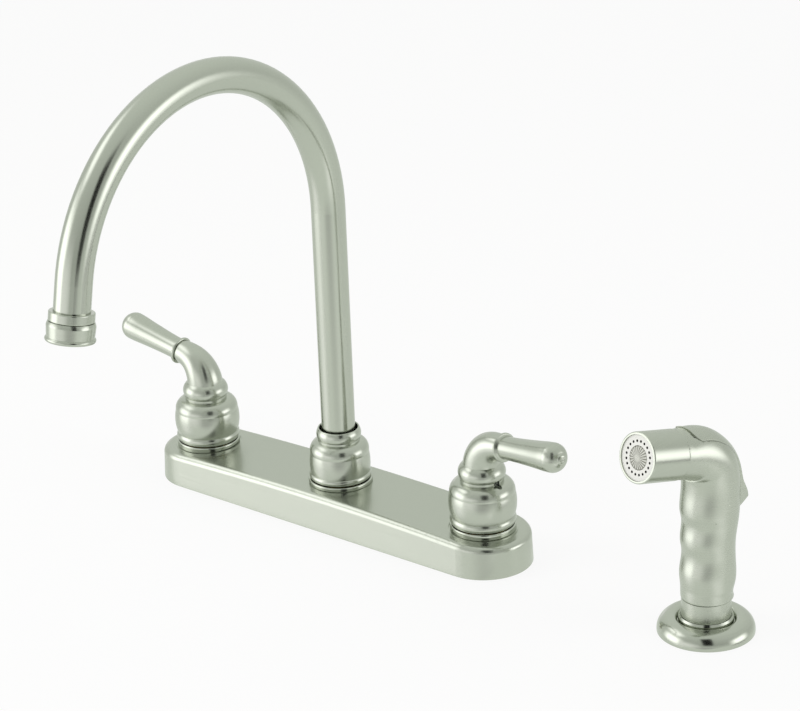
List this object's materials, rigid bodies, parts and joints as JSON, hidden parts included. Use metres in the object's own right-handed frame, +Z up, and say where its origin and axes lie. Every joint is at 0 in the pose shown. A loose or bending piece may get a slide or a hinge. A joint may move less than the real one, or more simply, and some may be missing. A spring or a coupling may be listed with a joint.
{
  "type": "side spray kitchen faucet",
  "caption": "Two-handle kitchen faucet on a long deck plate, with a swivelling high-arc spout, lever handles and a pull-out side sprayer standing in its own holder.",
  "frame": {"origin": "on the sink deck, on the spout's swivel axis, midway between the two shanks that hold the set", "axes": "+X along the deck plate to the cold handle and the sprayer, +Y away from the user, +Z up"},
  "size_m": [0.4386, 0.2398, 0.3439],
  "materials": {
    "satin_nickel": "satin nickel plate, fine grained",
    "polished_nickel": "polished plate",
    "brass": "machined",
    "ceramic": "lapped",
    "black_rubber": "matte",
    "steel": "plain",
    "white_plastic": "moulded",
    "grey_plastic": "moulded",
    "dark_plastic": "moulded"
  },
  "bodies": {
    "deck_set": {"deck_plate": "satin_nickel", "base_pad": "dark_plastic", "spout_base_ring": "polished_nickel", "hot_valve_body": "brass", "hot_crossover_tube": "brass", "hot_seat_seal": "black_rubber", "hot_fixed_disc": "ceramic", "hot_cartridge": "dark_plastic", "hot_bonnet_nut": "brass", "hot_base_ring": "polished_nickel", "cold_valve_body": "brass", "cold_crossover_tube": "brass", "cold_seat_seal": "black_rubber", "cold_fixed_disc": "ceramic", "cold_cartridge": "dark_plastic", "cold_bonnet_nut": "brass", "cold_base_ring": "polished_nickel", "spout_hub": "brass", "hose_nipple": "brass", "diverter_cage": "brass", "diverter_spring": "steel", "spout_bell": "satin_nickel", "spout_slip_ring": "white_plastic", "shank_washers": "steel", "shank_lock_nuts": "brass", "holder_flange": "satin_nickel", "holder_guide": "dark_plastic", "holder_nut": "dark_plastic"},
    "hot_handle_set": {"hot_handle": "satin_nickel", "hot_lever": "satin_nickel", "hot_handle_screw": "steel", "hot_stem": "brass", "hot_moving_disc": "ceramic"},
    "cold_handle_set": {"cold_handle": "satin_nickel", "cold_lever": "satin_nickel", "cold_handle_screw": "steel", "cold_stem": "brass", "cold_moving_disc": "ceramic"},
    "spout": {"spout_tube": "satin_nickel", "spout_sleeve": "brass", "spout_o_rings": "black_rubber", "spout_collar": "satin_nickel", "aerator_housing": "satin_nickel", "aerator_washer": "black_rubber", "aerator_insert": "white_plastic"},
    "diverter": {"diverter_poppet": "brass"},
    "sprayer": {"sprayer_body": "satin_nickel", "spray_lever_pin": "steel", "spray_valve_bonnet": "dark_plastic", "spray_valve_spring": "steel", "sprayer_end_cap": "satin_nickel", "hose_coupling": "dark_plastic", "spray_head_sleeve": "satin_nickel", "spray_face": "white_plastic", "spray_rose": "grey_plastic"},
    "sprayer_lever": {"spray_lever": "satin_nickel"},
    "spray_valve": {"spray_valve_stem": "brass"}
  },
  "joints": [
    {"name": "spout_swivel", "type": "hinge", "parent": "deck_set", "child": "spout", "pos_m": [0, 0, 0.03], "axis": [0, 0, 1], "continuous": true},
    {"name": "hot_handle_turn", "type": "hinge", "parent": "deck_set", "child": "hot_handle_set", "pos_m": [-0.1016, 0, 0.04], "axis": [0, 0, 1], "range_deg": [0, 90]},
    {"name": "cold_handle_turn", "type": "hinge", "parent": "deck_set", "child": "cold_handle_set", "pos_m": [0.1016, 0, 0.04], "axis": [0, 0, -1], "range_deg": [0, 90]},
    {"name": "diverter_slide", "type": "slide", "parent": "deck_set", "child": "diverter", "axis": [0, 0, -1], "range_m": [0, 0.0025], "stiffness_N_per_m": 120, "springref_m": -0.002, "deforming": ["diverter_spring"]},
    {"name": "sprayer_lift", "type": "slide", "parent": "deck_set", "child": "sprayer", "axis": [0, 0, 1], "range_m": [0, 0.15]},
    {"name": "spray_lever_press", "type": "hinge", "parent": "sprayer", "child": "sprayer_lever", "pos_m": [0.24402, -0.00995, 0.11204], "axis": [-0.9703, 0.2419, 0], "range_deg": [0, 5], "stiffness_Nm_per_rad": 0.8, "springref_deg": -5.73},
    {"name": "spray_valve_slide", "type": "slide", "parent": "sprayer", "child": "spray_valve", "axis": [-0.2419, -0.9703, 0], "range_m": [0, 0.00255], "deforming": ["spray_valve_spring"]}
  ],
  "couplings": [
    {"joint": "spray_valve_slide", "follows": "spray_lever_press", "m_per_rad": 0.02804}
  ]
}
